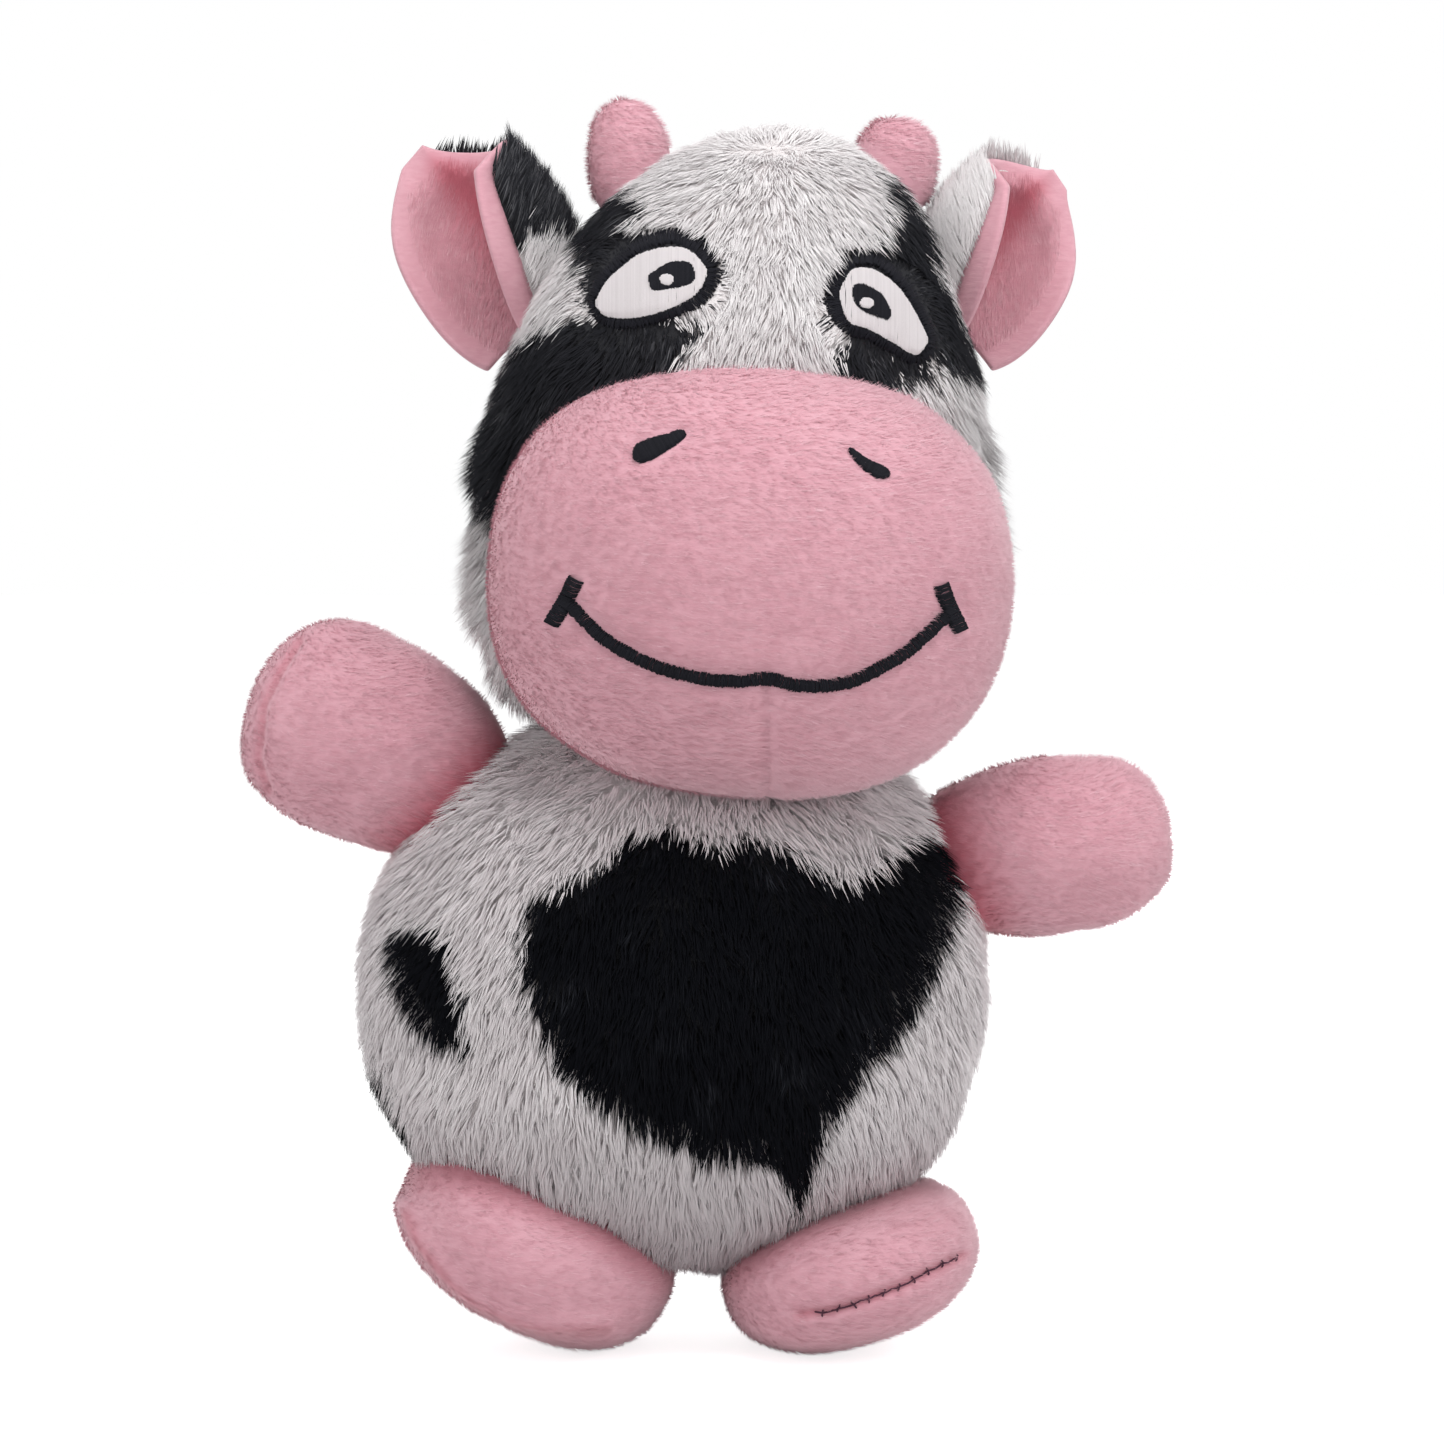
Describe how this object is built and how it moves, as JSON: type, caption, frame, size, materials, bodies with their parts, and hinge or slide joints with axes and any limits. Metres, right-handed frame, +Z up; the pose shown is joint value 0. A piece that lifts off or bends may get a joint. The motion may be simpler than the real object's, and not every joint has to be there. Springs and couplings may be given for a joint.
{
  "type": "plush cow",
  "caption": "Stuffed plush cow standing on two soft feet: long-pile body and head, short-pile muzzle, arms, feet, ears and horns, with an embroidered face.",
  "frame": {"origin": "on the floor, under the middle of the toy's bounding box", "axes": "+Z up, the face looks along -Y, +X to the viewer's right"},
  "size_m": [0.1874, 0.112, 0.2504],
  "materials": {
    "white_fur": "long white pile",
    "black_fur": "long black pile",
    "pink_pile": "brushed short pile",
    "filling": "loose polyester fibre",
    "black_thread": "satin-stitched thread",
    "white_thread": "satin-stitched thread"
  },
  "bodies": {
    "torso": {"body_cover_front": "white_fur", "body_cover_back": "white_fur", "body_stuffing": "filling"},
    "head": {"head_cover_front": "white_fur", "head_cover_back": "white_fur", "muzzle_cover": "pink_pile", "head_stuffing": "filling", "left_eye_outline": "black_thread", "left_eye_white": "white_thread", "left_eye_pupil": "black_thread", "right_eye_outline": "black_thread", "right_eye_white": "white_thread", "right_eye_pupil": "black_thread", "left_nostril": "black_thread", "right_nostril": "black_thread", "mouth_stitching": "black_thread", "left_horn_cover": "pink_pile", "left_horn_stuffing": "filling", "right_horn_cover": "pink_pile", "right_horn_stuffing": "filling"},
    "left_ear": {"left_ear_outer": "black_fur", "left_ear_inner": "pink_pile"},
    "right_ear": {"right_ear_outer": "white_fur", "right_ear_inner": "pink_pile"},
    "left_arm": {"left_arm_front": "pink_pile", "left_arm_back": "pink_pile", "left_arm_stuffing": "filling"},
    "right_arm": {"right_arm_front": "pink_pile", "right_arm_back": "pink_pile", "right_arm_stuffing": "filling"},
    "left_foot": {"left_foot_upper": "pink_pile", "left_foot_sole": "pink_pile", "left_foot_stuffing": "filling"},
    "right_foot": {"right_foot_upper": "pink_pile", "right_foot_sole": "pink_pile", "right_foot_stuffing": "filling", "closing_seam_thread": "black_thread"}
  },
  "joints": [
    {"name": "neck_turn", "type": "hinge", "parent": "torso", "child": "head", "pos_m": [-0.00365, 0.01, 0.13], "axis": [0, 0, 1], "range_deg": [-10, 10], "stiffness_Nm_per_rad": 0.15},
    {"name": "left_arm_swing", "type": "hinge", "parent": "torso", "child": "left_arm", "pos_m": [-0.05152, 0.01, 0.11376], "axis": [0, 1, 0], "range_deg": [-18, 14], "stiffness_Nm_per_rad": 0.05},
    {"name": "right_arm_swing", "type": "hinge", "parent": "torso", "child": "right_arm", "pos_m": [0.05205, 0.01, 0.0981], "axis": [0, -1, 0], "range_deg": [-18, 14], "stiffness_Nm_per_rad": 0.05},
    {"name": "left_ear_fold", "type": "hinge", "parent": "head", "child": "left_ear", "pos_m": [-0.03681, 0.014, 0.20874], "axis": [0.6428, 0, 0.766], "range_deg": [-12, 12], "stiffness_Nm_per_rad": 0.02},
    {"name": "right_ear_fold", "type": "hinge", "parent": "head", "child": "right_ear", "pos_m": [0.05247, 0.014, 0.20874], "axis": [-0.5592, 0, 0.829], "range_deg": [-12, 12], "stiffness_Nm_per_rad": 0.02},
    {"name": "left_foot_twist", "type": "hinge", "parent": "torso", "child": "left_foot", "pos_m": [-0.03395, 0.004, 0.02144], "axis": [0, 0, 1], "range_deg": [-10, 10], "stiffness_Nm_per_rad": 0.1},
    {"name": "right_foot_twist", "type": "hinge", "parent": "torso", "child": "right_foot", "pos_m": [0.02905, 0.004, 0.01664], "axis": [0, 0, 1], "range_deg": [-10, 10], "stiffness_Nm_per_rad": 0.1}
  ]
}
